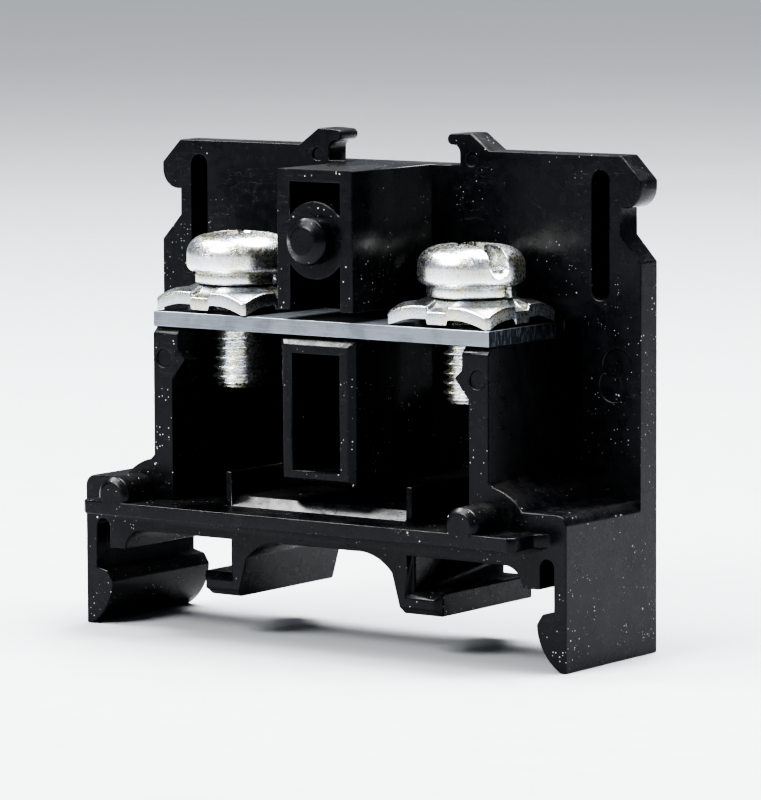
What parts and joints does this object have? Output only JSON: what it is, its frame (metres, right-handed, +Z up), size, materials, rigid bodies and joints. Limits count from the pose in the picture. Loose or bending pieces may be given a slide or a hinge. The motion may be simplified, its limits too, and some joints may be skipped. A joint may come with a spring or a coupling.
{
  "type": "din rail terminal block",
  "caption": "Feed-through terminal block for a top hat rail: open moulded housing with stacking pins, a flat conductor bar, and a clamp screw at each end.",
  "frame": {"origin": "middle of the bounding box's base, at the level of the foot bottoms", "axes": "+X across the rail, +Y along the rail towards the housing's closed back, +Z up, away from the rail"},
  "size_m": [0.037, 0.0132, 0.0319],
  "materials": {
    "housing_plastic": "black moulded thermoplastic, satin to glossy",
    "bar_metal": "dull grey plated",
    "plate_metal": "bright zinc plated sheet",
    "screw_metal": "bright zinc plated"
  },
  "bodies": {
    "block": {"housing": "housing_plastic", "conductor_bar": "bar_metal"},
    "left_clamp": {"left_clamp_plate": "plate_metal", "left_spring_washer": "screw_metal"},
    "left_screw": {"left_screw": "screw_metal"},
    "right_clamp": {"right_clamp_plate": "plate_metal", "right_spring_washer": "screw_metal"},
    "right_screw": {"right_screw": "screw_metal"}
  },
  "joints": [
    {"name": "left_clamp_rise", "type": "slide", "parent": "block", "child": "left_clamp", "axis": [0, 0, 1], "range_m": [0, 0.003]},
    {"name": "left_screw_turn", "type": "hinge", "parent": "left_clamp", "child": "left_screw", "pos_m": [-0.00895, 0.00028, 0.023], "axis": [0, 0, 1], "range_deg": [0, 1800]},
    {"name": "right_clamp_rise", "type": "slide", "parent": "block", "child": "right_clamp", "axis": [0, 0, 1], "range_m": [0, 0.003]},
    {"name": "right_screw_turn", "type": "hinge", "parent": "right_clamp", "child": "right_screw", "pos_m": [0.00895, 0.00028, 0.023], "axis": [0, 0, 1], "range_deg": [0, 1800]}
  ],
  "couplings": [
    {"joint": "left_screw_turn", "follows": "left_clamp_rise", "rad_per_m": 10472},
    {"joint": "right_screw_turn", "follows": "right_clamp_rise", "rad_per_m": 10472}
  ]
}
